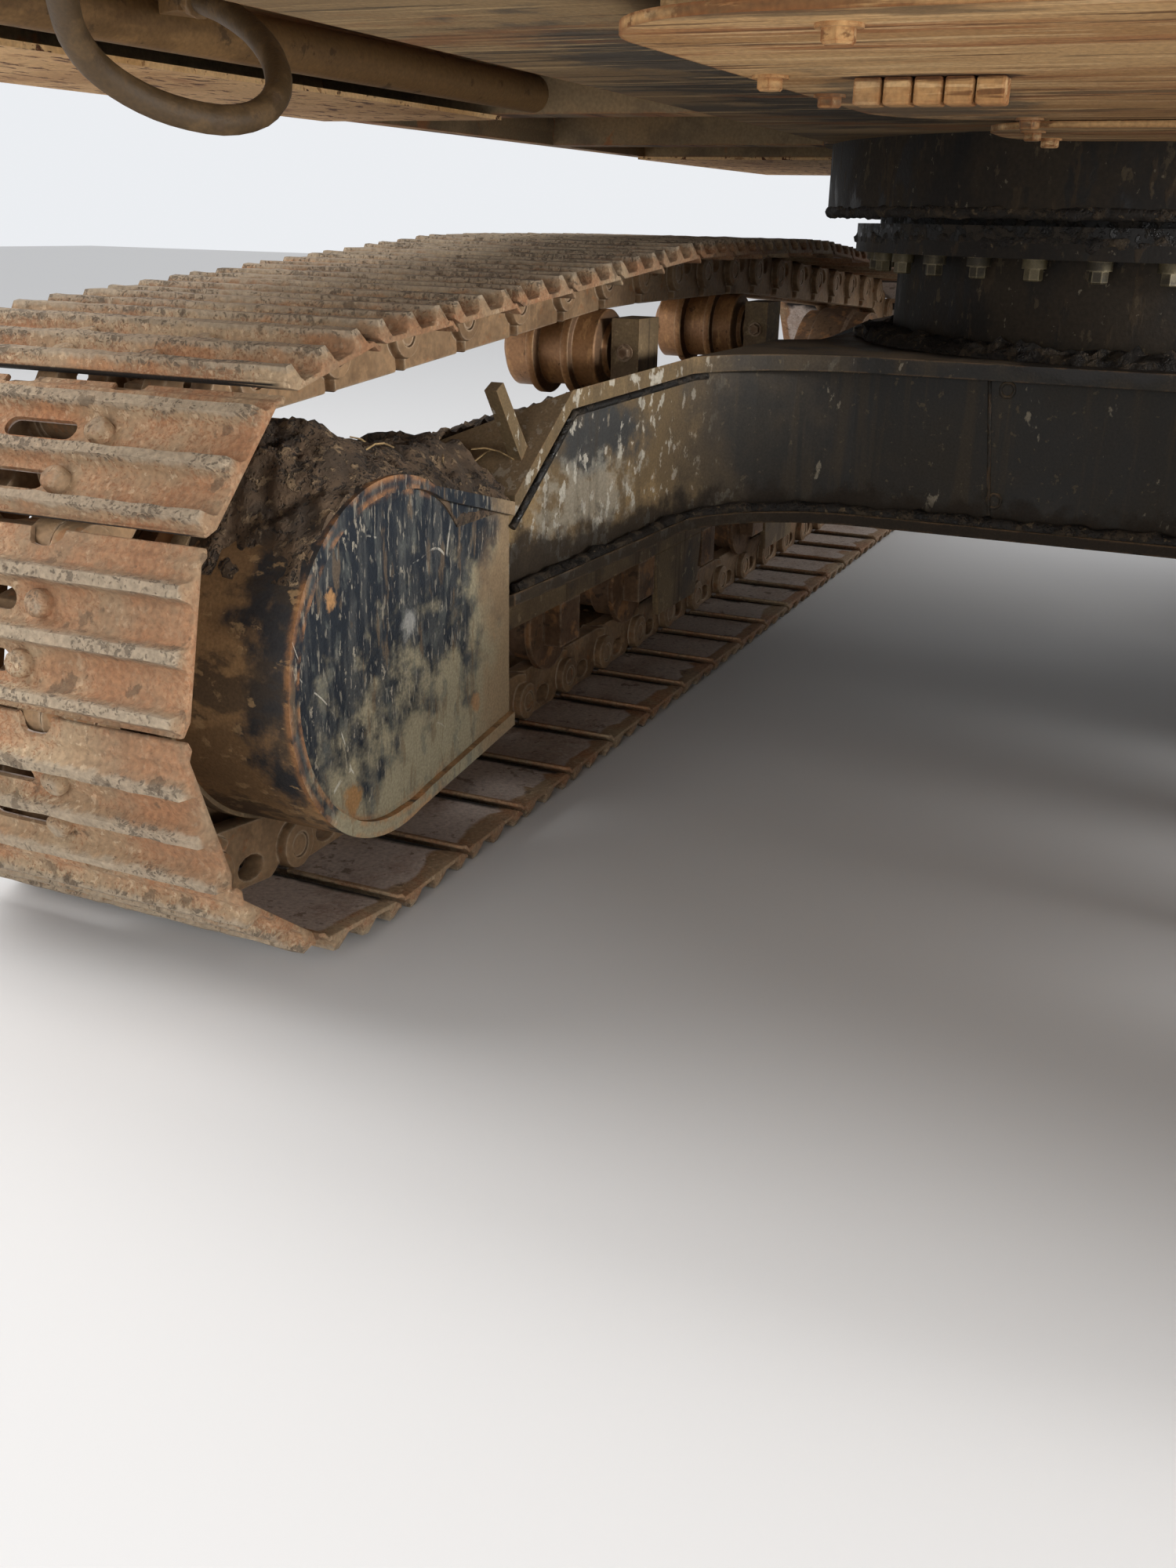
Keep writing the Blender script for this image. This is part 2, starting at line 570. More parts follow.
# %% Track frames, rollers, ring and castings
frame_finish = finish("dust over frame paint", (104, 84, 60), 0.8, [
    patch((134, 112, 80), 0.9, 0.75, 0, 6, 0.48, 0.22),
    patch((54, 48, 40), 0.7, 0.7, 0, 9, 0.30, 0.16),
    patch((156, 134, 100), 0.92, 0.6, 0.0004, 36, 0.26, 0.06),
    patch((60, 48, 34), 0.9, 0.5, 0, 24, 0.26, 0.1, RAIN),
    patch((120, 100, 72), 0.95, 0.9, 0.0012, 5, 0.8, 0.25, group=settled),
    rubbed((146, 112, 76), 0.8, 0.6, 0.55),
], grain=0.0006, grain_scale=200.0)
roller_finish = finish("rubbed roller steel", (166, 120, 78), 0.42, [
    patch((122, 84, 52), 0.6, 0.7, 0, 7, 0.40, 0.2, (1, 0.4, 1)),
    patch((200, 150, 98), 0.4, 0.6, 0, 16, 0.30, 0.1, (1, 3, 1)),
    patch((84, 62, 42), 0.8, 0.7, 0.0004, 34, 0.18, 0.05),
    layer(turned, (96, 72, 50), 0.8, 0.85, 0, Direction=(0, 1, 0), Start=0.6, End=0.9),
    rubbed((206, 176, 138), 0.35, 0.7, 0.7),
], metallic=0.35, grain=0.0004, grain_scale=160.0)
oily_finish = finish("oily black paint", (30, 26, 22), 0.62, [
    patch((50, 42, 32), 0.8, 0.75, 0, 7, 0.45, 0.2, (1, 1, 0.5)),
    patch((16, 14, 12), 0.4, 0.75, 0, 16, 0.34, 0.1, (1, 1, 0.4)),
    patch((66, 54, 40), 0.85, 0.5, 0.0005, 34, 0.26, 0.06, (1, 1, 0.3)),
    patch((88, 76, 58), 0.85, 0.45, 0.0003, 40, 0.20, 0.05, (1, 1, 0.5)),
    patch((130, 120, 102), 0.9, 0.4, 0, 60, 0.10, 0.03),
], grain=0.0008, grain_scale=150.0, shine=0.2)
grease_finish = finish("greased steel", (22, 19, 16), 0.55, [
    patch((46, 38, 28), 0.75, 0.8, 0.0030, 22, 0.45, 0.1),
    patch((14, 12, 10), 0.2, 0.7, 0.0015, 60, 0.35, 0.08),
], grain=0.0020, grain_scale=90.0, shine=0.3)
casting_finish = finish("bare casting", (118, 90, 64), 0.72, [
    patch((92, 66, 44), 0.85, 0.85, 0, 8, 0.5, 0.22),
    patch((158, 112, 70), 0.8, 0.75, 0.0004, 18, 0.36, 0.1),
    patch((62, 50, 38), 0.8, 0.6, 0, 40, 0.24, 0.06),
    rubbed((174, 150, 122), 0.5, 0.65, 0.6, radius=0.008),
], metallic=0.2, grain=0.0009, grain_scale=120.0)

# %% [markdown]
# ## Platform
# The platform's underside is ochre paint, scraped in long streaks that run one way. Noise that is
# squeezed in the other way draws them. On top lie dust and wear instead, so each set of layers
# is limited by the way that a face is turned.

# %% Webs and decks of the platform, with streaks only on what faces down
UNDER = (turned, {"Direction": (0, 0, -1), "Start": 0.7, "End": 0.9, "Both": 0})
UPWARD = (turned, {"Direction": (0, 0, 1), "Start": 0.7, "End": 0.9, "Both": 0})
UPRIGHT = (turned, {"Direction": (0, 0, 1), "Start": 0.5, "End": 0.3})
STREAKS = [
    patch((140, 86, 42), 0.82, 0.8, 0, 9, 0.42, 0.12, (0.14, 1, 1), only=UNDER),
    patch((80, 58, 34), 0.85, 0.85, 0, 14, 0.34, 0.08, (0.12, 1, 1), only=UNDER),
    patch((76, 52, 30), 0.85, 0.7, -0.0001, 70, 0.30, 0.06, (0.06, 1, 1), only=UNDER),
]
RUSTY_EDGE = rubbed((140, 88, 46), 0.85, 0.8, 0.6)
ochre_finish = finish("dirty ochre paint", (156, 118, 70), 0.7, [
    patch((178, 140, 90), 0.8, 0.6, 0, 4, 0.44, 0.25),
    patch((124, 84, 46), 0.8, 0.6, 0, 6, 0.36, 0.2),
    patch((182, 144, 94), 0.85, 0.8, 0, 5, 0.46, 0.2, (0.2, 1, 1), only=UNDER),
    *STREAKS,
    patch((206, 172, 122), 0.85, 0.5, 0.0001, 80, 0.22, 0.05, (0.08, 1, 1), only=UNDER),
    patch((104, 82, 56), 0.85, 0.35, 0, 30, 0.30, 0.14, (1, 1, 0.12), only=UPRIGHT),
    patch((66, 50, 34), 0.9, 0.75, 0.0006, 16, 0.13, 0.03),
    patch((132, 112, 84), 0.92, 0.85, 0, 2.2, 0.66, 0.35, only=UPWARD),
    patch((84, 70, 54), 0.92, 0.7, 0, 7, 0.34, 0.16, only=UPWARD),
    patch((120, 116, 108), 0.6, 0.6, 0, 13, 0.22, 0.06, only=UPWARD),
    RUSTY_EDGE,
], grain=0.0006, grain_scale=200.0, contrast=0.16)
deck_finish = finish("dusty tread plate", (140, 112, 74), 0.75, [
    patch((120, 104, 80), 0.92, 0.85, 0, 2.2, 0.60, 0.35),
    patch((92, 78, 60), 0.92, 0.7, 0, 6, 0.36, 0.18),
    patch((150, 92, 48), 0.85, 0.6, 0, 10, 0.20, 0.06),
    patch((182, 144, 94), 0.85, 0.8, 0, 5, 0.50, 0.2, (0.2, 1, 1), only=UNDER),
    *STREAKS,
    layer(tread, (158, 146, 124), 0.5, 0.55, 0.0016, only=UPWARD),
    patch((78, 66, 50), 0.95, 0.6, 0.0006, 24, 0.24, 0.06, only=UPWARD),
    RUSTY_EDGE,
], grain=0.0004, grain_scale=200.0, contrast=0.16)

# %% The belly's plates, covers and pipe
pipe_finish = finish("dull brown pipe", (112, 84, 50), 0.6, [
    patch((84, 62, 38), 0.75, 0.75, 0, 6, 0.46, 0.22, (0.3, 1, 1)),
    patch((144, 110, 68), 0.75, 0.6, 0, 12, 0.26, 0.1, (0.3, 1, 1)),
    patch((58, 44, 28), 0.85, 0.6, 0, 30, 0.20, 0.06),
], grain=0.0004, grain_scale=220.0)
belly_finish = finish("sooty belly paint", (116, 92, 60), 0.75, [
    patch((150, 124, 86), 0.85, 0.75, 0, 6, 0.42, 0.2, (1, 0.2, 1)),
    patch((60, 52, 42), 0.8, 0.85, 0, 5, 0.42, 0.14, (1, 0.3, 1)),
    blot((60, 58, 54), 0.65, 0.8, 0, (-1.80, 0.40, 1.09), (0.26, 0.09, 0.05), 1.3, 13, 0.35),
    blot((52, 46, 38), 0.7, 0.9, 0, (-1.20, 0.34, 1.09), (0.42, 0.20, 0.05), 0.9, 9, 0.3),
    patch((176, 148, 104), 0.85, 0.7, 0, 60, 0.30, 0.06, (1, 0.05, 1), only=UNDER),
    patch((50, 40, 28), 0.85, 0.75, 0, 34, 0.28, 0.06, (1, 0.09, 1), only=UNDER),
    patch((132, 84, 44), 0.82, 0.65, 0, 7, 0.26, 0.1, (1, 0.35, 1)),
    patch((120, 102, 76), 0.92, 0.85, 0, 2.2, 0.66, 0.35, only=UPWARD),
    patch((70, 60, 48), 0.92, 0.7, 0, 7, 0.36, 0.16, only=UPWARD),
    RUSTY_EDGE,
], grain=0.0006, grain_scale=200.0, contrast=0.16)
cover_finish = finish("scraped belly cover", (164, 122, 74), 0.75, [
    patch((192, 154, 104), 0.85, 0.8, 0, 8, 0.48, 0.16, (1, 0.14, 1)),
    patch((150, 92, 44), 0.82, 0.75, 0, 13, 0.36, 0.10, (1, 0.14, 1)),
    patch((102, 66, 32), 0.82, 0.85, -0.0003, 40, 0.34, 0.06, (1, 0.06, 1)),
    patch((214, 180, 132), 0.85, 0.65, 0, 60, 0.32, 0.05, (1, 0.06, 1)),
    patch((92, 72, 46), 0.85, 0.7, 0, 12, 0.24, 0.08, (1, 0.2, 1)),
    blot((84, 74, 58), 0.8, 0.75, 0, (-1.50, 0.20, 1.07), (0.26, 0.10, 0.05), 1.3, 12, 0.35),
    blot((70, 44, 22), 0.85, 0.9, 0, (-1.79, 0.131, 1.068), (0.030, 0.084, 0.004), 0.15, 40, 0.1),
    rubbed((130, 78, 36), 0.85, 0.9, 0.75),
], grain=0.0006, grain_scale=200.0, contrast=0.18)


def outer_edge(side):
    return (fade, {"Direction": (0, side, 0), "Start": 1.02, "End": 0.94, "Ragged": 0.06, "Scale": 20})


side_belly_finish = finish("rusting side belly", (184, 142, 90), 0.78, [
    patch((216, 178, 128), 0.85, 0.8, 0, 6, 0.60, 0.2, (1, 0.4, 1)),
    patch((150, 98, 52), 0.85, 0.7, 0, 12, 0.22, 0.1, (0.4, 1, 1)),
    patch((120, 78, 40), 0.85, 0.7, -0.0002, 70, 0.22, 0.05, (1, 0.2, 1)),
    *[patch((88, 48, 24), 0.95, 0.9, 0.0012, 46, 0.30, 0.05, (0.5, 1, 1), only=outer_edge(side))
      for side in (1, -1)],
], grain=0.0006, grain_scale=200.0, contrast=0.18)

# %% Bolts, rubber, mud and stalks
brass_finish = finish("dull olive bolts", (84, 74, 50), 0.6, [
    patch((46, 40, 30), 0.7, 0.85, 0, 9, 0.48, 0.12),
    rubbed((150, 136, 104), 0.45, 0.7, 0.7, radius=0.004),
], metallic=0.3, grain=0.0005, grain_scale=300.0)
rubber_finish = finish("dusty rubber", (72, 54, 30), 0.6, [
    patch((100, 77, 47), 0.8, 0.7, 0, 30, 0.42, 0.2),
    patch((76, 58, 38), 0.8, 0.7, -0.0002, 70, 0.22, 0.05),
], grain=0.0004, grain_scale=300.0)
mud_finish = finish("caked mud", (86, 68, 50), 0.97, [
    patch((54, 43, 32), 0.97, 0.85, -0.0030, 20, 0.5, 0.15),
    patch((126, 104, 78), 0.97, 0.75, 0.0030, 48, 0.34, 0.08),
    patch((36, 29, 22), 0.97, 0.8, -0.0030, 70, 0.40, 0.12, group=pits),
], grain=0.0050, grain_scale=80.0, contrast=0.3)
black_mud_finish = finish("greasy black mud", (34, 29, 24), 0.75, [
    patch((62, 52, 40), 0.95, 0.8, 0.0024, 26, 0.42, 0.1),
    patch((108, 92, 70), 0.95, 0.6, 0.0016, 60, 0.2, 0.05),
    patch((16, 14, 12), 0.5, 0.7, -0.0020, 80, 0.40, 0.12, group=pits),
], grain=0.0040, grain_scale=90.0, contrast=0.3, shine=0.3)
stalk_finish = finish("dry stalks", (150, 124, 84), 0.9, [
    patch((96, 76, 50), 0.9, 0.7, 0, 60, 0.4, 0.1),
], grain=0.0002, grain_scale=400.0)

SLOTS = {
    "rusty_shoe_steel": shoe_finish, "worn_chain_steel": chain_finish, "scratched_black_paint": guard_finish,
    "dusty_black_paint": web_finish, "greased_steel": grease_finish, "bare_casting": casting_finish,
    "dirty_ochre_paint": ochre_finish, "dusty_rubber": rubber_finish,
}
hose.data.materials.append(rubber_finish)
print("finishes", len(bpy.data.materials))

# %% [markdown]
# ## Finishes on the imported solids
# Solids whose shape is right stay as they are. They get a finish, and a small bevel
# that catches light along their edges, as every rolled or cut plate has one.
# Their meshes are loose triangles, so a weld comes before the bevel.

# %% Give each solid its finish
def both(*names):
    return [f"{name}_{label}" for name in names for label in ("left", "right")]


PAINTED = {
    web_finish: ["carbody", "swing_drive"],
    frame_finish: both("track_frame", "chain_guards", "idler_yoke"),
    roller_finish: both("carrier_rollers"),
    oily_finish: ["ring_drum", "ring_skirt"],
    guard_finish: both("motor_guard"),
    shoe_finish: both("track"),
    chain_finish: both("chain", "sprocket"),
    casting_finish: both("idler", "track_rollers", "final_drive"),
    grease_finish: ["race_inner", "race_outer", "swivel_joint"],
    ochre_finish: ["main_webs", "rear_beam"],
    side_belly_finish: both("side_belly"),
    deck_finish: both("side_deck"),
    pipe_finish: ["deck_pipe", "hose_elbows"],
    belly_finish: ["centre_plate"],
    cover_finish: ["belly_cover_rear", "belly_cover_front", "belly_blocks"],
}
BEVELLED = ["carbody", "main_webs", "rear_beam", "belly_blocks", "hose_elbows",
            *both("track_frame", "chain_guards", "idler_yoke", "carrier_rollers", "track_rollers"),
            *both("sprocket", "idler", "final_drive")]
SOLID_BEVEL, WELD_REACH = 0.003, 0.00005
SHARP = math.radians(35)

for material, names in PAINTED.items():
    for name in names:
        for material_slot in nodes[name].material_slots:
            material_slot.material = material
for name in BEVELLED:
    nodes[name].modifiers.new("weld", "WELD").merge_threshold = WELD_REACH
    bevel = nodes[name].modifiers.new("bevel", "BEVEL")
    bevel.width, bevel.segments, bevel.limit_method, bevel.angle_limit = SOLID_BEVEL, 2, "ANGLE", SHARP
print("solids with a finish", sum(len(names) for names in PAINTED.values()), "and with a bevel", len(BEVELLED))

# %% [markdown]
# ## Helpers for hand modelling
# The pieces below are modelled as by hand. Faces are picked in edit mode by their middle and
# normal, then extruded, scaled or bevelled. A finished piece keeps its place in its mesh.

# %% Edit mode: pick faces, cut, extrude and scale
def start_edit(obj, pick_all=False):
    focus(obj)
    bpy.ops.object.mode_set(mode="EDIT")
    bpy.ops.mesh.select_mode(type="FACE")
    bpy.ops.mesh.select_all(action="SELECT" if pick_all else "DESELECT")


def end_edit():
    bpy.ops.object.mode_set(mode="OBJECT")


def pick_faces(obj, test):
    form = bmesh.from_edit_mesh(obj.data)
    for face in form.faces:
        face.select_set(bool(test(face.calc_center_median(), face.normal)))
    bmesh.update_edit_mesh(obj.data)


def cut_across(values, normal):
    for value in values:
        bpy.ops.mesh.select_all(action="SELECT")
        bpy.ops.mesh.bisect(plane_co=Vector(normal) * value, plane_no=normal)
    bpy.ops.mesh.select_all(action="DESELECT")


def extrude(x, y, z):
    bpy.ops.mesh.extrude_region_move(TRANSFORM_OT_translate={"value": (x, y, z)})


def resize(x, y, z, about):
    bpy.ops.transform.resize(value=(x, y, z), center_override=about)


# %% Object mode: add, modify, join and copy
def primitive(kind, **settings):
    getattr(bpy.ops.mesh, f"primitive_{kind}_add")(**settings)
    bpy.ops.object.transform_apply(location=True, rotation=True, scale=True)
    return bpy.context.object


def apply_modifier(obj, kind, **settings):
    focus(obj)
    made = obj.modifiers.new(kind.lower(), kind)
    for name, value in settings.items():
        setattr(made, name, value)
    bpy.ops.object.modifier_apply(modifier=made.name)


def round_edges(obj, width, angle=SHARP):
    apply_modifier(obj, "BEVEL", width=width, segments=2, limit_method="ANGLE", angle_limit=angle)


def subtract(obj, cutter):
    apply_modifier(obj, "BOOLEAN", object=cutter, operation="DIFFERENCE", solver="EXACT")
    bpy.data.objects.remove(cutter)


def displace(obj, name, strength, size, depth=4, mid=0.5, group=""):
    cloud = bpy.data.textures.new(name, "CLOUDS")
    cloud.noise_scale, cloud.noise_depth = size, depth
    apply_modifier(obj, "DISPLACE", texture=cloud, texture_coords="LOCAL", strength=strength, mid_level=mid,
                   vertex_group=group, direction="NORMAL")


def join(parts, name):
    bpy.ops.object.select_all(action="DESELECT")
    for part in parts:
        part.select_set(True)
    bpy.context.view_layer.objects.active = parts[0]
    if len(parts) > 1:
        bpy.ops.object.join()
    parts[0].name = name
    return parts[0]


def copies(template, matrices, name):
    """One object with a copy of the template at each matrix"""
    made = []
    for matrix in matrices:
        mesh = template.data.copy()
        mesh.transform(matrix)
        part = bpy.data.objects.new(name, mesh)
        bpy.context.collection.objects.link(part)
        made.append(part)
    return join(made, name)


# %% Give a piece its name, finish, slot and body
def settle(obj, name, body, slot_name, material=None, smooth=35, replaces=()):
    focus(obj)
    bpy.ops.object.transform_apply(location=True, rotation=True, scale=True)
    bpy.ops.object.shade_smooth_by_angle(angle=math.radians(smooth))
    obj.name = name
    obj.data.materials.clear()
    obj.data.materials.append(material or SLOTS[slot_name])
    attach(obj, body)
    if replaces:
        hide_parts(*replaces)
    obj.data.calc_loop_triangles()
    print(name, len(obj.data.loop_triangles), "triangles")


# %% [markdown]
# ## One track shoe
# A shoe is a rolled plate with three ribs that grip the ground. It has oblong slots that let
# mud out, four bolts that hold it to the chain, and a thin lip that rides over the neighbour's
# far edge, which dips for it. It starts as a flat block. Cuts mark where the ribs are, and the
# faces between the cuts are extruded and narrowed.

# %% The shoe's measures, and a cutter for its slots
PITCH, SHOE_W = 0.190, 0.600
PLATE_LONG, PLATE_MIDDLE, PLATE_LOW, PLATE_TOP = 0.186, -0.007, 0.043, 0.051
RIBS, RIB_CUTS = (-0.071, 0.0, 0.071), (-0.090, -0.052, -0.019, 0.019, 0.052, 0.068)
RIB_TOP, RIB_FOOT, RIB_REACH = 0.075, 0.005, 0.018
LIP_X, LIP_STEPS, DIP = -0.119, ((-0.009, -0.009), (-0.010, -0.002)), 0.009
SLOT_X, SLOT_W, SLOT_LONG = 0.0355, 0.026, (0.106, 0.096)
HOLE_Y, HOLE_W, HOLE_LONG = 0.083, 0.040, 0.050
LENGTH_CUT = 0.0225
COVERED_X, COVERED_Y, COVERED_Z = 0.064, 0.292, 0.055
EDGE_BACK, EDGE_FRONT, EDGE_SIDE, EDGE_SHADE = -0.101, 0.083, 0.294, 0.3
BOLT_R, BOLT_Y = 0.0175, (0.091, 0.067)
SIDES = ((1, "left"), (-1, "right"))


def stadium(length, width, place, depth=0.04):
    """A block with round ends, to cut a slot with"""
    block = primitive("cube", size=1, location=place, scale=(width, length, depth))
    start_edit(block)
    bpy.ops.mesh.select_mode(type="EDGE")
    form = bmesh.from_edit_mesh(block.data)
    for edge in form.edges:
        a, b = (v.co for v in edge.verts)
        edge.select_set(abs(a.z - b.z) > depth / 2)
    bmesh.update_edit_mesh(block.data)
    bpy.ops.mesh.bevel(offset=width * 0.47, segments=4)
    end_edit()
    return block


# %% Model the shoe's plate, ribs and lip
def make_shoe():
    plate = primitive("cube", size=1, location=(PLATE_MIDDLE, 0, (PLATE_LOW + PLATE_TOP) / 2),
                      scale=(PLATE_LONG, SHOE_W, PLATE_TOP - PLATE_LOW))
    start_edit(plate)
    cut_across(RIB_CUTS, (1, 0, 0))
    for rib in RIBS:
        pick_faces(plate, lambda middle, normal: normal.z > 0.9 and abs(middle.x - rib) < RIB_REACH)
        extrude(0, 0, RIB_FOOT)
        resize(0.68, 1, 1, (rib, 0, PLATE_TOP + RIB_FOOT))
        extrude(0, 0, RIB_TOP - PLATE_TOP - RIB_FOOT)
        resize(0.66, 0.982, 1, (rib, 0, RIB_TOP))
    pick_faces(plate, lambda middle, normal: normal.x > 0.9 and middle.x > 0.085)
    bpy.ops.transform.translate(value=(0, 0, DIP))
    pick_faces(plate, lambda middle, normal: normal.x < -0.9 and middle.x < -0.099)
    for back, down in LIP_STEPS:
        extrude(back, 0, down)
    resize(1, 0.99, 0.8, (LIP_X, 0, 0.036))
    end_edit()
    round_edges(plate, 0.0045, math.radians(28))
    slots = [stadium(long, SLOT_W, (x, 0, PLATE_TOP - 0.001)) for long, x in zip(SLOT_LONG, (-SLOT_X, SLOT_X))]
    slots += [stadium(HOLE_LONG, HOLE_W, (LIP_X, side * HOLE_Y, 0.040)) for side in (-1, 1)]
    subtract(plate, join(slots, "slot_cutter"))
    start_edit(plate)
    cut_across([k * LENGTH_CUT for k in range(-12, 13)], (0, 1, 0))
    end_edit()
    return plate


# %% Set its bolts, and write the two masks that its finish reads
def make_shoe_bolts():
    heads = []
    for along, across in zip((-SLOT_X, SLOT_X), BOLT_Y):
        for side in (-1, 1):
            head = primitive("cylinder", vertices=10, radius=BOLT_R, depth=0.020,
                             location=(along, side * across, PLATE_TOP + 0.007))
            start_edit(head)
            pick_faces(head, lambda middle, normal: normal.z > 0.9)
            bpy.ops.mesh.bevel(offset=0.008, segments=3)
            end_edit()
            heads.append(head)
    return join(heads, "shoe_bolts")


def write_masks(obj):
    """height is 0 on the plate's inner face and 1 on the ribs, gap is 1 where the next lip lies over the plate"""
    for name in ("height", "gap"):
        obj.data.attributes.new(name, "FLOAT", "POINT")
    height, gap = obj.data.attributes["height"], obj.data.attributes["gap"]
    for point, tall, dark in zip(obj.data.vertices, height.data, gap.data):
        x, y, z = point.co.x, abs(point.co.y), point.co.z
        dark.value = 1.0 if x > COVERED_X and z < COVERED_Z and y < COVERED_Y else 0.0
        tall.value = min(1, max(0, (z - PLATE_LOW) / (RIB_TOP - PLATE_LOW)))
        if x < EDGE_BACK or x > EDGE_FRONT or y > EDGE_SIDE:
            tall.value = max(tall.value, EDGE_SHADE)


shoe = join([make_shoe(), make_shoe_bolts()], "shoe")
write_masks(shoe)
print("one shoe", len(shoe.data.vertices), "points")

# %% [markdown]
# ## The way round
# Both tracks follow the same path: along the ground, round the idler, over two carrier rollers
# and round the sprocket. The chain's pins stand one pitch apart on it. This repeats the
# path of the solids, in metres.

# %% Find where the chain leaves and meets each wheel
HALF, PIN_R, GROUND = 1.705, 0.335, 0.075
COUNT, PHASE, TRACK_Y = 47, 0.061, 1.100
AXLE = GROUND + PIN_R
CARRIERS = (Vector((0.341, 0.8383)), Vector((-0.489, 0.8383)))


def round_point(centre, angle):
    return centre + PIN_R * Vector((math.cos(angle), math.sin(angle)))


def tangent(centre, carrier, sign):
    way = carrier - centre
    angle = math.atan2(way.y, way.x) + sign * math.acos(PIN_R / way.length)
    return angle, round_point(centre, angle)


idler_middle, sprocket_middle = Vector((HALF, AXLE)), Vector((-HALF, AXLE))
leave_angle, leave_point = tangent(idler_middle, CARRIERS[0], -1)
meet_angle, meet_point = tangent(sprocket_middle, CARRIERS[1], 1)
RUNS = [2 * HALF, PIN_R * (leave_angle + math.pi / 2), (CARRIERS[0] - leave_point).length,
        (CARRIERS[0] - CARRIERS[1]).length, (CARRIERS[1] - meet_point).length, PIN_R * (1.5 * math.pi - meet_angle)]
LOOP = sum(RUNS)


# %% Find the place of every link
def on_path(way):
    way %= LOOP
    if way < RUNS[0]:
        return Vector((-HALF + way, GROUND))
    way -= RUNS[0]
    if way < RUNS[1]:
        return round_point(idler_middle, -math.pi / 2 + way / PIN_R)
    way -= RUNS[1]
    for run, a, b in zip(RUNS[2:5], (leave_point, *CARRIERS), (*CARRIERS, meet_point)):
        if way < run:
            return a.lerp(b, way / run)
        way -= run
    return round_point(sprocket_middle, meet_angle + way / PIN_R)


pins = [on_path(PHASE + i * LOOP / COUNT) for i in range(COUNT)]


def link_matrix(i, side):
    """Local x goes along the link, y across the track and z outwards"""
    a, b = pins[i], pins[(i + 1) % COUNT]
    along, middle = (b - a).normalized(), (a + b) / 2
    outward = Vector((along.y, -along.x))
    return Matrix((
        (along.x, 0, outward.x, middle.x),
        (0, -1, 0, side * TRACK_Y),
        (along.y, 0, outward.y, middle.y),
        (0, 0, 0, 1),
    ))


def lay_track(template, side, name):
    return copies(template, [link_matrix(i, side) for i in range(COUNT)], name)


print("pitch", round(LOOP / COUNT, 4))

# %% [markdown]
# ## Both tracks
# The shoe is copied to every link. Then a displacement with a cloud texture eats into the
# ribs, because gravel and road wear them unevenly. It only takes material away, so the
# track still stands on the ground. Last, points that change nothing on flat faces are thinned out.

# %% Lay the shoes
WEAR_DEPTH, WEAR_SIZE, LEAST_WEAR = 0.005, 0.022, 0.12
WEAR_FROM, WEAR_OVER = 0.056, 0.014
KEPT_SHARE = 0.715
shoe_wear = [min(1, max(LEAST_WEAR, (v.co.z - WEAR_FROM) / WEAR_OVER)) for v in shoe.data.vertices]
for side, label in SIDES:
    shoes = lay_track(shoe, side, f"shoes_{label}")
    group = shoes.vertex_groups.new(name="rib_wear")
    for index, weight in enumerate(shoe_wear * COUNT):
        group.add([index], weight, "REPLACE")
    displace(shoes, "rib_wear", WEAR_DEPTH, WEAR_SIZE, depth=3, mid=1.0, group="rib_wear")
    apply_modifier(shoes, "DECIMATE", ratio=KEPT_SHARE)
    settle(shoes, f"shoes_{label}", "undercarriage", "rusty_shoe_steel", smooth=40, replaces=[f"track_{label}"])
bpy.data.objects.remove(shoe)

# %% [markdown]
# ## Chain links
# Each link has two forged plates. One end holds the pin and stands out, the other holds the
# bushing and stands in, so that they nest. A plate starts as a block. Its ends are drawn out to
# the sides and narrowed, a window is cut through its middle, and a round eye closes each end.

# %% Model the two plates of a link
PLATE_Y, OUTER_Y, INNER_Y, EYE_R = 0.083, 0.101, 0.066, 0.037
END_OUT, END_ASIDE, RAIL_Z = 0.020, 0.014, -0.050
BUSHING_R, BUSHING_LONG = 0.029, 0.150


def make_plate(side):
    plate = primitive("cube", size=1, location=(0, side * PLATE_Y, -0.0065), scale=(0.160, 0.036, 0.099))
    start_edit(plate)
    cut_across([-0.050, 0.050], (1, 0, 0))
    pick_faces(plate, lambda middle, normal: abs(normal.x) > 0.9 and abs(middle.x) > 0.07)
    resize(1, 1, 0.74, (0, 0, -0.056))
    for end in (-1, 1):
        pick_faces(plate, lambda middle, normal: normal.x * end > 0.9 and middle.x * end > 0.07)
        extrude(END_OUT * end, END_ASIDE * side * end, 0)
        resize(1, 0.8, 0.8, (0.100 * end, side * (PLATE_Y + END_ASIDE * end), RAIL_Z))
    end_edit()
    window = primitive("cylinder", vertices=12, radius=0.018, depth=0.2, location=(0, side * 0.09, 0.014),
                       rotation=(math.pi / 2, 0, 0))
    window.data.transform(Matrix.Diagonal((1.6, 1, 1, 1)))
    subtract(plate, window)
    round_edges(plate, 0.005)
    return plate


# %% Add the eyes and the bushing, and lay the chains
def make_eye(along, across, side):
    """A round end with the pin's head sunk in its outer face"""
    eye = primitive("cylinder", vertices=18, radius=EYE_R, depth=0.034, location=(along, side * across, 0),
                    rotation=(math.pi / 2, 0, 0))
    start_edit(eye)
    pick_faces(eye, lambda middle, normal: normal.y * side > 0.9)
    bpy.ops.mesh.bevel(offset=0.006, segments=2)
    pick_faces(eye, lambda middle, normal: normal.y * side > 0.98)
    bpy.ops.mesh.inset(thickness=EYE_R * 0.30)
    extrude(0, -side * 0.006, 0)
    bpy.ops.mesh.inset(thickness=EYE_R * 0.06)
    extrude(0, side * 0.004, 0)
    end_edit()
    return eye


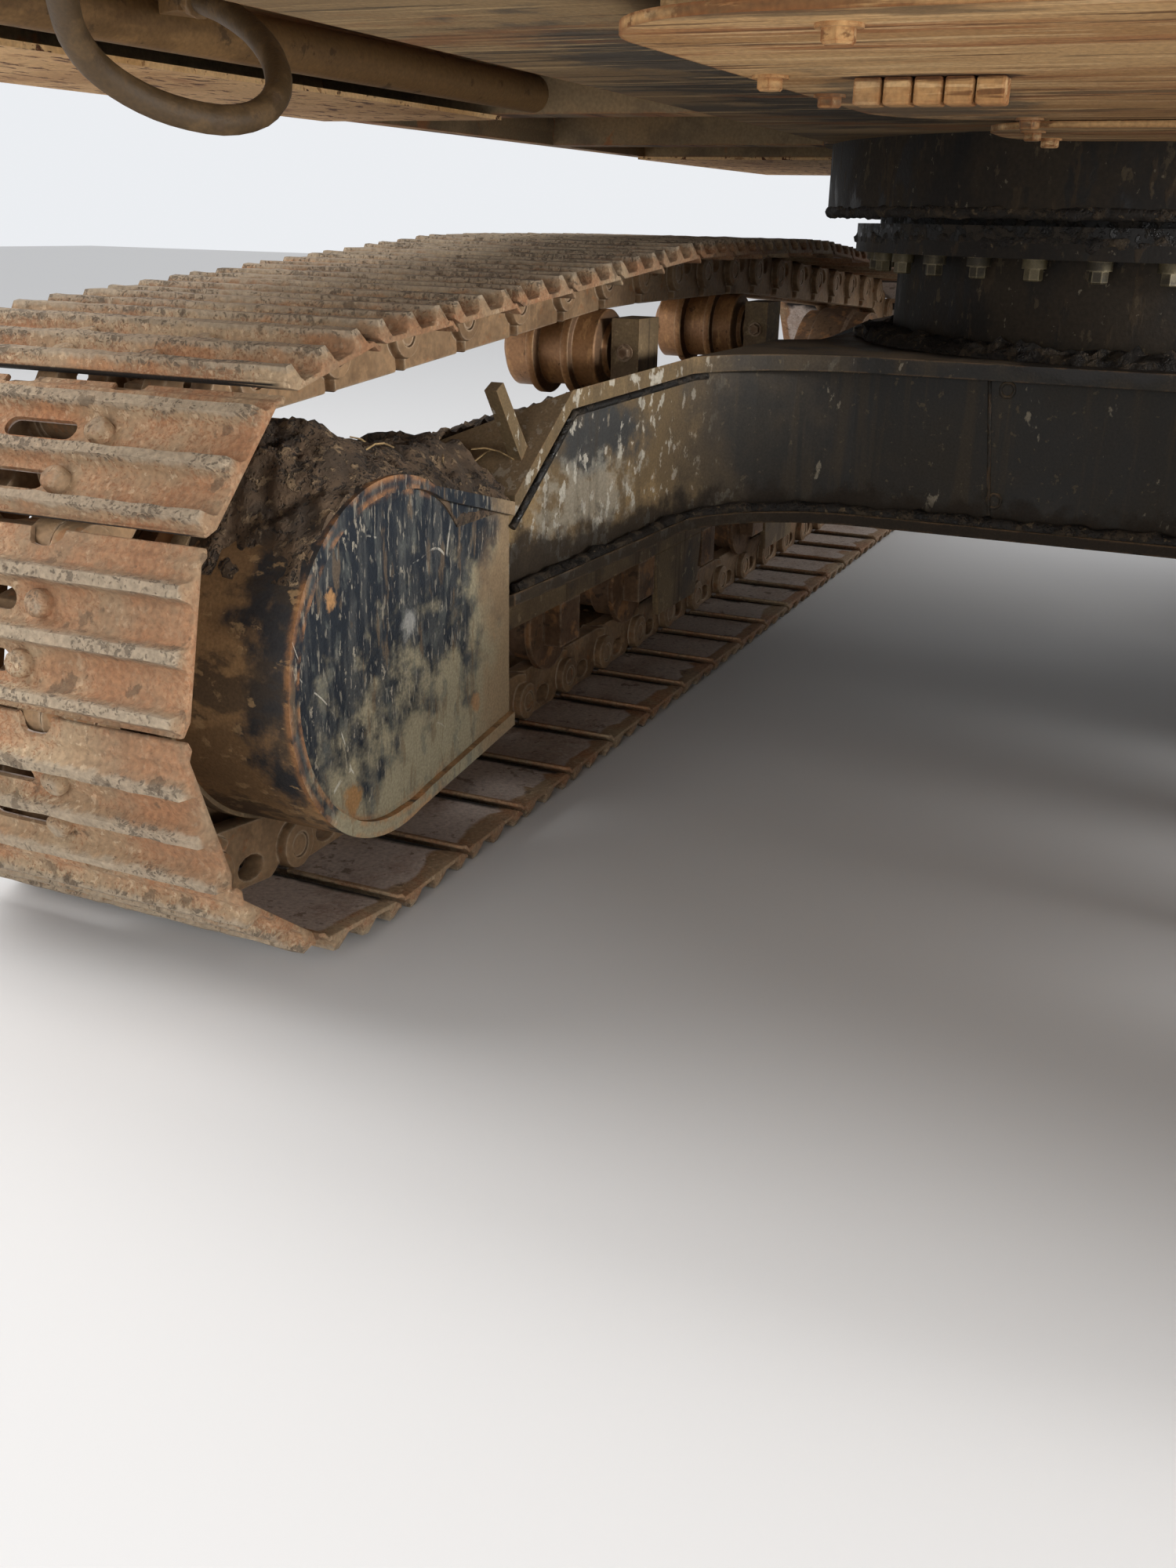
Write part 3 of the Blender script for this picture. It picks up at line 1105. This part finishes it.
link_parts = [primitive("cylinder", vertices=20, radius=BUSHING_R, depth=BUSHING_LONG, location=(PITCH / 2, 0, 0),
                        rotation=(math.pi / 2, 0, 0))]
for side in (1, -1):
    link_parts += [make_plate(side), make_eye(PITCH / 2, OUTER_Y, side), make_eye(-PITCH / 2, INNER_Y, side)]
link = join(link_parts, "link")
print("one link", len(link.data.vertices), "points")
for side, label in SIDES:
    links = lay_track(link, side, f"links_{label}")
    settle(links, f"links_{label}", "undercarriage", "worn_chain_steel", replaces=[f"chain_{label}"])
bpy.data.objects.remove(link)

# %% [markdown]
# ## Bolts
# One hexagon bolt with a washer serves every place, in other sizes. The washer is a disc, and
# the head is a second cylinder with six sides, whose top face gets a bevel.

# %% Model a bolt and a way to set a row of it
UP, DOWN, BACK = (0, 0, 1), (0, 0, -1), (-1, 0, 0)


def make_bolt(radius, head, collar=0.003):
    washer = primitive("cylinder", vertices=16, radius=radius * 1.32, depth=collar, location=(0, 0, collar / 2))
    top = primitive("cylinder", vertices=6, radius=radius, depth=head, location=(0, 0, collar + head / 2))
    start_edit(top)
    pick_faces(top, lambda middle, normal: normal.z > 0.9)
    bpy.ops.mesh.bevel(offset=radius * 0.14, segments=1)
    end_edit()
    return join([washer, top], "bolt")


def facing(place, normal, spin=0.0):
    """A matrix that sets a bolt's foot at place with its head along normal"""
    turn = Vector(normal).to_track_quat("Z", "Y").to_matrix().to_4x4()
    return Matrix.Translation(place) @ turn @ Matrix.Rotation(spin, 4, "Z")


def set_row(name, template, matrices, body, slot_name, material=None):
    row = copies(template, matrices, name)
    bpy.data.objects.remove(template)
    settle(row, name, body, slot_name, material, smooth=30)


def circle(count, radius, shift=0.0):
    """The angle, and the place across and up, of each bolt on a circle"""
    angles = [math.tau * (k + shift) / count for k in range(count)]
    return [(a, radius * math.cos(a), radius * math.sin(a)) for a in angles]


# %% Bolts of the ring, the belly, the carrier posts, the sprockets and the deck
RING_BOLT_R, FLANGE_LOW, COVER_LOW, DECK_TOP = 0.575, 0.895, 1.068, 1.176
POST_BACK, POST_Y, POST_Z = 0.052, 0.947, 0.70
RIM_R, RIM_Y, HUB_R, HUB_Y = 0.205, 1.152, 0.088, 1.268
BELLY_SPOTS = ((-2.168, 0.117), (-1.828, 0.272), (-1.621, 0.272), (-1.260, 0.119), (-1.010, 0.150), (-0.830, 0.150))
DECK_X, DECK_Y = (-2.410, -1.720, -1.036, -0.164, 0.361, 0.802, 1.340), (0.36, 0.62, 0.88, 1.10, 1.31)
drive_spots = [(a, x, RIM_Y, z) for a, x, z in circle(20, RIM_R)]
drive_spots += [(a, x, HUB_Y, z) for a, x, z in circle(10, HUB_R)]

set_row("ring_bolts", make_bolt(radius=0.016, head=0.020, collar=0.016), [
    facing((x, y, FLANGE_LOW), DOWN, a * 7) for a, x, y in circle(32, RING_BOLT_R, 0.3)
], "undercarriage", "greased_steel", brass_finish)
set_row("belly_bolts", make_bolt(radius=0.013, head=0.010), [
    facing((x, side * y, COVER_LOW), DOWN, x * 9) for x, y in BELLY_SPOTS for side in (1, -1)
], "platform", "dirty_ochre_paint", cover_finish)
set_row("post_bolts", make_bolt(radius=0.013, head=0.010), [
    facing((carrier.x - POST_BACK, side * POST_Y, POST_Z), BACK) for carrier in CARRIERS for side in (1, -1)
], "undercarriage", "bare_casting")
set_row("drive_bolts", make_bolt(radius=0.010, head=0.009), [
    facing((x - HALF, side * y, AXLE + z), (0, side, 0), a) for a, x, y, z in drive_spots for side in (1, -1)
], "undercarriage", "bare_casting")
set_row("deck_bolts", make_bolt(radius=0.012, head=0.008), [
    facing((x, side * y, DECK_TOP), UP, x * 5 + y) for x in DECK_X for y in DECK_Y for side in (1, -1)
], "platform", "dirty_ochre_paint")

# %% [markdown]
# ## Welds
# A weld between two plates is a bead with small waves, which the welder's hand leaves. Here it is
# a tube along the joint, and a displacement with clouds gives the waves. One set joins the webs
# to the deck, one runs along the track frames, and one down each end of the carbody, where two
# holes are plugged as well.

# %% Lay the beads
def bead(a, b, radius, step=0.006):
    a, b = Vector(a), Vector(b)
    count = max(2, int((b - a).length / step))
    return tube("bead", [a.lerp(b, k / count) for k in range(count + 1)], radius)


def settle_beads(beads, name, strength, size, body, slot_name, material=None):
    whole = join(beads, name)
    displace(whole, name, strength, size)
    settle(whole, name, body, slot_name, material, smooth=60)


WEB_X, BEAM_X, BEAM_Y, DECK_LOW = (-2.290, 1.180), -2.298, 0.54, 1.117
WEB_CORNERS = ((0.294, 1.178), (0.262, DECK_LOW))
FRAME_X, FRAME_Y, FRAME_CORNERS = (-1.300, 1.100), 1.261, (0.312, 0.508)
SEAM_X, SEAM_TOP, SEAM_FOOT = 0.622, (0.228, 0.699), (0.200, 0.451)
PLUG_Y, PLUG_Z = 0.196, (0.683, 0.492)

deck_beads = [bead((WEB_X[0], side * y, z), (WEB_X[1], side * y, z), 0.007)
              for side in (1, -1) for y, z in WEB_CORNERS]
deck_beads.append(bead((BEAM_X, -BEAM_Y, DECK_LOW), (BEAM_X, BEAM_Y, DECK_LOW), 0.007))
settle_beads(deck_beads, "deck_welds", 0.005, 0.008, "platform", "dirty_ochre_paint")

frame_beads = [bead((FRAME_X[0], side * FRAME_Y, z), (FRAME_X[1], side * FRAME_Y, z), 0.005, 0.008)
               for side in (1, -1) for z in FRAME_CORNERS]
settle_beads(frame_beads, "frame_welds", 0.004, 0.009, "undercarriage", "dusty_black_paint", frame_finish)

seam_parts = []
for end in (1, -1):
    for side in (1, -1):
        top, foot = ((-SEAM_X * end, side * y, z) for y, z in (SEAM_TOP, SEAM_FOOT))
        seam_parts.append(bead(top, foot, 0.0035))
        for z in PLUG_Z:
            seam_parts.append(primitive("torus", major_radius=0.012, minor_radius=0.003, major_segments=24,
                                        minor_segments=8, location=((0.001 - SEAM_X) * end, side * PLUG_Y, z),
                                        rotation=(0, math.pi / 2, 0)))
settle_beads(seam_parts, "carbody_seams", 0.002, 0.008, "undercarriage", "dusty_black_paint")

# %% [markdown]
# ## Lids on the track frames
# Behind a bolted lid in the frame's outer side sits the grease valve that tightens the track.
# The lid is a block with an inset field and a bolt in each corner.

# %% Model a lid
LID_X, LID_Y, LID_Z = 0.780, 1.259, 0.410


def make_lid():
    lid = primitive("cube", size=1, location=(0, 0, 0.004), scale=(0.150, 0.100, 0.008))
    start_edit(lid)
    pick_faces(lid, lambda middle, normal: normal.z > 0.9)
    bpy.ops.mesh.inset(thickness=0.010)
    extrude(0, 0, 0.003)
    end_edit()
    round_edges(lid, 0.003)
    bolt = make_bolt(radius=0.008, head=0.006, collar=0.002)
    corners = [Matrix.Translation((x, y, 0.010)) for x in (0.055, -0.055) for y in (0.032, -0.032)]
    bolts = copies(bolt, corners, "lid_bolts")
    bpy.data.objects.remove(bolt)
    return join([lid, bolts], "lid")


lid_places = [facing((LID_X, side * LID_Y, LID_Z), (0, side, 0)) for side in (1, -1)]
set_row("frame_lids", make_lid(), lid_places, "undercarriage", "dusty_black_paint", frame_finish)

# %% [markdown]
# ## Mud
# Mud packs on whatever is flat near a track. A heap starts as a fine grid that is extruded to a
# slab. Its underside is set just inside the steel, and its top follows a chosen outline with
# broken noise on it.

# %% Pile a heap on a surface
BURIED, ROUGH_PER_M, ROUGH_HIGH, LUMPS_PER_M, LUMPS_HIGH = 0.010, 34, 0.011, 12, 0.014


def pile(name, x_range, y_range, step, surface, thickness, side, seed):
    """surface and thickness give metres for x and y on the left side, side -1 mirrors the heap"""
    long, wide = x_range[1] - x_range[0], y_range[1] - y_range[0]
    bpy.ops.object.select_all(action="DESELECT")
    bpy.ops.mesh.primitive_grid_add(x_subdivisions=int(long / step), y_subdivisions=int(wide / step), size=1,
                                    location=(sum(x_range) / 2, sum(y_range) / 2, 0))
    heap = bpy.context.object
    heap.scale = (long, wide, 1)
    bpy.ops.object.transform_apply(location=True, rotation=True, scale=True)
    start_edit(heap, pick_all=True)
    extrude(0, 0, -0.05)
    bpy.ops.mesh.select_all(action="SELECT")
    bpy.ops.mesh.normals_make_consistent(inside=False)
    end_edit()
    for point in heap.data.vertices:
        x, y = point.co.x, point.co.y
        under = surface(x, y)
        if point.co.z < -0.02:
            point.co.z = under - BURIED
            continue
        rough = noise.fractal(Vector((x * ROUGH_PER_M + seed, y * ROUGH_PER_M, 3.0)), 0.8, 2.1, 5) * ROUGH_HIGH
        lumps = noise.noise(Vector((x * LUMPS_PER_M + seed, y * LUMPS_PER_M, 7.0))) * LUMPS_HIGH
        point.co.z = under + max(-0.007, thickness(x, y) * (1 + 6 * lumps) + rough + lumps * 0.5)
    for point in heap.data.vertices:
        point.co.x += noise.noise(point.co * 40 + Vector((seed, 0, 0))) * step * 0.3
        point.co.y += noise.noise(point.co * 40 + Vector((0, seed, 0))) * step * 0.3
    if side < 0:
        heap.data.transform(Matrix.Diagonal((1, -1, 1, 1)))
        heap.data.flip_normals()
    settle(heap, name, "undercarriage", "dusty_black_paint", mud_finish, smooth=80)


# %% The steel under the mud, and the mud's outline and thickness
SLOPE, BEND_Y = math.tan(math.radians(23)), 0.690
GUARD_X, GUARD_Z, GUARD_R, GUARD_FLAT = -1.685, 0.398, 0.239, 0.550
FRAME_SIDES, FRAME_TOP, FRAME_ROUND = (0.940, 1.260), 0.560, 0.046
FOOT_X, FOOT_Y, FOOT_TOP, FOOT_LOW = (-1.359, -0.70), 1.078, 0.728, 0.539
MUD_OUTLINE = [(-1.90, 0.56), (-1.80, 0.66), (-1.707, 0.701), (-1.637, 0.672), (-1.513, 0.636), (-1.372, 0.630),
               (-1.236, 0.630), (-1.084, 0.631), (-1.001, 0.585), (-0.93, 0.575)]


def between(value, low, high):
    return min(high, max(low, value))


def drop(y):
    """How far the leg's end has sloped down at y"""
    return max(0.0, y - BEND_Y) * SLOPE


def guard_top(x, y):
    return GUARD_Z + math.sqrt(max(0.0, GUARD_R ** 2 - (x - GUARD_X) ** 2)) if x < -1.50 else GUARD_FLAT


def frame_top(x, y):
    edge = min(y - FRAME_SIDES[0], FRAME_SIDES[1] - y)
    level = FRAME_TOP - max(0.0, FRAME_ROUND - edge)
    if y < FOOT_Y and FOOT_X[0] < x < FOOT_X[1]:
        level = max(level, min(FOOT_TOP - drop(y), FOOT_LOW + (x - FOOT_X[0])))
    return level


def along_outline(x):
    for (xa, za), (xb, zb) in zip(MUD_OUTLINE, MUD_OUTLINE[1:]):
        if x <= xb:
            return za + (zb - za) * (x - xa) / (xb - xa)
    return MUD_OUTLINE[-1][1]


def guard_mud(x, y):
    ridge, ends = between((y - 0.792) / 0.09, 0.0, 1.0), between((x + 1.86) / 0.10, 0.0, 1.0)
    return (along_outline(x) - guard_top(x, y)) * ridge * ends


def frame_mud(x, y):
    ridge = between(1.1 - abs(y - 1.02) / 0.24, 0.25, 1.0)
    heap = max(0.0, along_outline(x) - frame_top(x, 0.95)) if x < -0.93 else 0.0
    patchy = noise.noise(Vector((x * 3.1, y * 6.0, 11.0))) * 0.020 + 0.004
    return max(heap * ridge, patchy)


for side, label in SIDES:
    pile(f"guard_mud_{label}", x_range=(-1.88, -1.33), y_range=(0.790, 0.986), step=0.0065,
         surface=guard_top, thickness=guard_mud, side=side, seed=5.0 * side)
    pile(f"frame_mud_{label}", x_range=(-1.33, 1.12), y_range=(0.945, 1.255), step=0.0105,
         surface=frame_top, thickness=frame_mud, side=side, seed=9.0 * side)

# %% [markdown]
# ## Mud and gaps along the carbody
# Greasy mud lies in the corner over the carbody's bottom flange, and a dark gap shows under the
# edge of each leg's top plate. Both follow the plates' outline, which swings out in a curve
# from the middle to the legs, so both are tubes along it. The mud is roughened.

# %% Follow the curve of the plates
CURVE, CURVE_R, CURVE_END = Vector((-0.935, 0.422)), 0.280, 79.3
FOOT_GAP, FOOT_END, FOOT_MIDDLE, FOOT_Z = 0.018, Vector((-1.315, 0.797)), Vector((-0.637, 0.0)), 0.452
EDGE_GAP, EDGE_DEGREES, EDGE_END, EDGE_Z = 0.005, (64, 70, CURVE_END), Vector((-1.339, 0.788)), 0.694


def on_curve(degrees, gap):
    angle = math.radians(degrees)
    return CURVE + (CURVE_R + gap) * Vector((math.cos(angle), math.sin(angle)))


def foot_route(end):
    half = [FOOT_END, *[on_curve(CURVE_END * (8 - k) / 8, FOOT_GAP) for k in range(9)], FOOT_MIDDLE]
    whole = half + [Vector((p.x, -p.y)) for p in reversed(half[:-1])]
    route = []
    for a, b in zip(whole, whole[1:]):
        steps = max(1, int((b - a).length / 0.02))
        route += [a.lerp(b, k / steps) for k in range(steps)]
    return [Vector((p.x * end, p.y, FOOT_Z - drop(abs(p.y)))) for p in route + [whole[-1]]]


def gap_route(end, side):
    """Just under the plates' edge, first along the level part and then down the sloped end"""
    spots = [on_curve(degrees, EDGE_GAP) for degrees in EDGE_DEGREES]
    spots += [spots[-1].lerp(EDGE_END, k / 12) for k in range(1, 13)]
    return [Vector((p.x * end, p.y * side, min(EDGE_Z - drop(p.y), p.x + 1.850))) for p in spots]


for end, label in ((1, "rear"), (-1, "front")):
    foot_mud = tube(f"foot_mud_{label}", foot_route(end), 0.013, 3)
    displace(foot_mud, f"foot_{label}", 0.022, 0.022)
    settle(foot_mud, f"foot_mud_{label}", "undercarriage", "greased_steel", black_mud_finish, smooth=80)
gaps = [tube("gap", gap_route(end, side), 0.006, 2) for end in (1, -1) for side in (1, -1)]
settle(join(gaps, "leg_seams"), "leg_seams", "undercarriage", "greased_steel", grease_finish, smooth=60)

# %% [markdown]
# ## Grease
# Grease creeps out of a slewing ring and catches dust. It lies round the drum's foot, on the
# race and under the skirt, each time as a torus that is flattened and roughened.

# %% Lay the rings of grease
def grease_ring(name, body, major, minor, height, flat, strength, size):
    bpy.ops.mesh.primitive_torus_add(major_radius=major, minor_radius=minor, major_segments=300, minor_segments=14)
    ring = bpy.context.object
    start_edit(ring, pick_all=True)
    bpy.ops.transform.resize(value=(1, 1, flat))
    bpy.ops.transform.translate(value=(0, 0, height))
    end_edit()
    displace(ring, name, strength, size)
    settle(ring, name, body, "greased_steel", black_mud_finish, smooth=80)


grease_ring("drum_foot_grease", "undercarriage",
            major=0.566, minor=0.040, height=0.722, flat=0.72, strength=0.052, size=0.020)
grease_ring("race_grease", "undercarriage",
            major=0.604, minor=0.017, height=0.921, flat=0.9, strength=0.026, size=0.016)
grease_ring("skirt_grease", "platform",
            major=0.677, minor=0.010, height=0.967, flat=1.0, strength=0.014, size=0.016)

# %% [markdown]
# ## Dry stalks
# A few stalks of grass hang in the mud over each guard. Each is a thin tube of four points that
# leaves the mud at its own angle and droops.

# %% Set the stalks
STALKS, STALK_R = 8, 0.0013


def stalk(k, side):
    x, y = -1.62 + 0.075 * k, 0.86 + 0.03 * math.sin(k * 2.3)
    start = Vector((x, side * y, along_outline(x) - 0.012))
    lean = Vector((math.cos(k * 1.9), math.sin(k * 2.7) * 0.6, 0.35 + 0.25 * math.sin(k)))
    length = 0.07 + 0.04 * math.sin(k * 1.3) ** 2
    points = [start + lean * length * t + Vector((0, 0, -0.03 * t * t)) for t in (0, 0.33, 0.66, 1)]
    return tube("stalk", points, STALK_R)


for side, label in SIDES:
    stalks = join([stalk(k, side) for k in range(STALKS)], "stalks")
    settle(stalks, f"dry_stalks_{label}", "undercarriage", "dusty_black_paint", stalk_finish)
